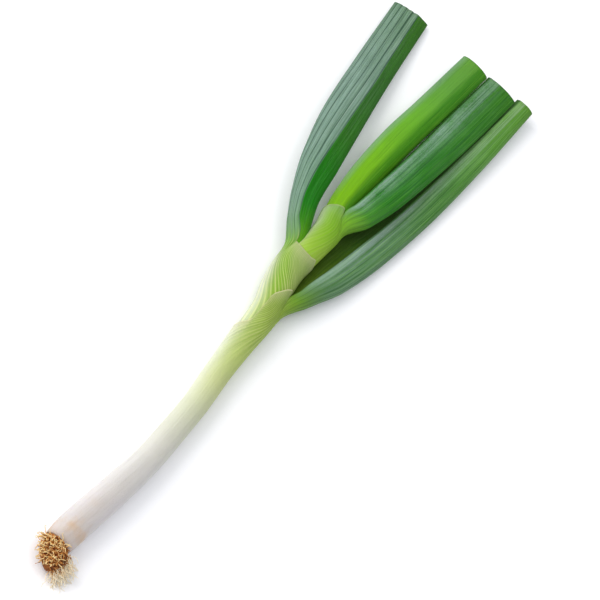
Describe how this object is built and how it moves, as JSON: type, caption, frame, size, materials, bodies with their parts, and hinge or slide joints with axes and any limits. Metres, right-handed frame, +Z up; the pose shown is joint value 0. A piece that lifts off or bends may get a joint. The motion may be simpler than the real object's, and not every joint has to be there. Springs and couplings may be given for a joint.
{
  "type": "spring onion",
  "caption": "Spring onion with a long white shaft of nested leaf sheaths, flattened hollow green leaves cut square at the tips, and a trimmed root tuft.",
  "frame": {"origin": "middle of the onion's outline, on the surface it lies on", "axes": "+X along the onion from the roots to the cut leaf tips, +Y to the side of the leaf that spreads out on its own, +Z up from the surface it lies on"},
  "size_m": [0.4379, 0.1093, 0.0233],
  "materials": {
    "outer_leaf": "satin white sheath turning green at the collar, with a waxy grey-green blade",
    "left_leaf": "satin, finely ribbed, waxy grey-green with a bright green sheath",
    "right_leaf": "satin, finely ribbed, dark green with a pale green sheath",
    "centre_leaf": "satin, bright fresh green",
    "basal_plate": "matt brown corky disc",
    "roots": "matt dry golden brown fibres"
  },
  "bodies": {
    "root": {"basal_plate": "basal_plate", "leaf_centre": "centre_leaf", "leaf_left": "left_leaf", "leaf_outer": "outer_leaf", "leaf_right": "right_leaf", "long_root_14": "roots", "long_root_15": "roots", "long_root_16": "roots", "long_root_17": "roots", "root_01": "roots", "root_02": "roots", "root_03": "roots", "root_04": "roots", "root_05": "roots", "root_06": "roots", "root_07": "roots", "root_08": "roots", "root_09": "roots", "root_10": "roots", "root_11": "roots", "root_12": "roots", "root_13": "roots", "root_18": "roots", "root_19": "roots"}
  },
  "joints": []
}
